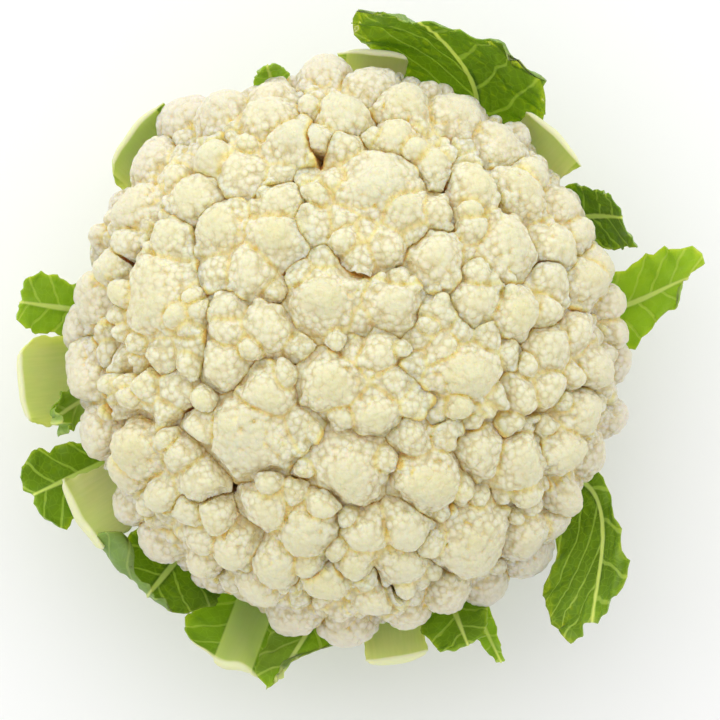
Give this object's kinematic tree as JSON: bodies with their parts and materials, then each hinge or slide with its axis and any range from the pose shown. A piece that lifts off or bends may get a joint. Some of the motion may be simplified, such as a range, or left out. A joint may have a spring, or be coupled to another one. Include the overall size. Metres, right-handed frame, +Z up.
{
  "type": "cauliflower",
  "caption": "Trimmed head of cauliflower: domed ivory curd of lumpy florets on a cut stem, with the cut-back green leaves and pale leaf stalks left round it.",
  "frame": {"origin": "centre of the stem's cut face, the flat face that the head stands on", "axes": "+Z up along the stem to the top of the curd; seen from above, -Y is the side called front, +X right, -X left and +Y back"},
  "size_m": [0.2176, 0.2128, 0.1224],
  "materials": {
    "curd": "ivory, matt and finely granular",
    "stem": "pale green skin with a moist cream cut face",
    "leaf": "fresh green blade, waxy pale back and stalk"
  },
  "bodies": {
    "root": {"stem": "stem", "floret_crown": "curd", "floret_crown_left": "curd", "floret_crown_back": "curd", "floret_crown_far_left": "curd", "floret_crown_front": "curd", "floret_inner_front_right": "curd", "floret_inner_right_front": "curd", "floret_rim_right_front": "curd", "floret_rim_right": "curd", "floret_rim_right_back": "curd", "floret_inner_right": "curd", "floret_inner_back_right": "curd", "floret_rim_back_right": "curd", "floret_rim_back_centre": "curd", "floret_rim_back": "curd", "floret_inner_back": "curd", "floret_rim_back_left": "curd", "floret_rim_left_back": "curd", "floret_inner_back_left": "curd", "floret_inner_left": "curd", "floret_rim_left": "curd", "floret_rim_left_front": "curd", "floret_deep_left": "curd", "floret_inner_front_left": "curd", "floret_rim_front_left": "curd", "floret_rim_front_left_low": "curd", "floret_inner_front": "curd", "floret_rim_front": "curd", "floret_front": "curd", "floret_front_right": "curd", "floret_rim_front_right": "curd", "floret_rim_front_centre": "curd", "leaf_right": "leaf", "leaf_right_back": "leaf", "leaf_back_right_stub": "leaf", "leaf_back_right": "leaf", "leaf_back_stub": "leaf", "leaf_back_tip": "leaf", "leaf_back_left": "leaf", "leaf_left_back_tip": "leaf", "leaf_left_back": "leaf", "leaf_left": "leaf", "leaf_left_curl": "leaf", "leaf_left_front_blade": "leaf", "leaf_left_front_stub": "leaf", "leaf_front_left_curl": "leaf", "leaf_front_left": "leaf", "leaf_front_blade": "leaf", "leaf_front_stub": "leaf", "leaf_front_right_tip": "leaf", "leaf_front_right_low": "leaf", "leaf_front_right": "leaf"}
  },
  "joints": []
}
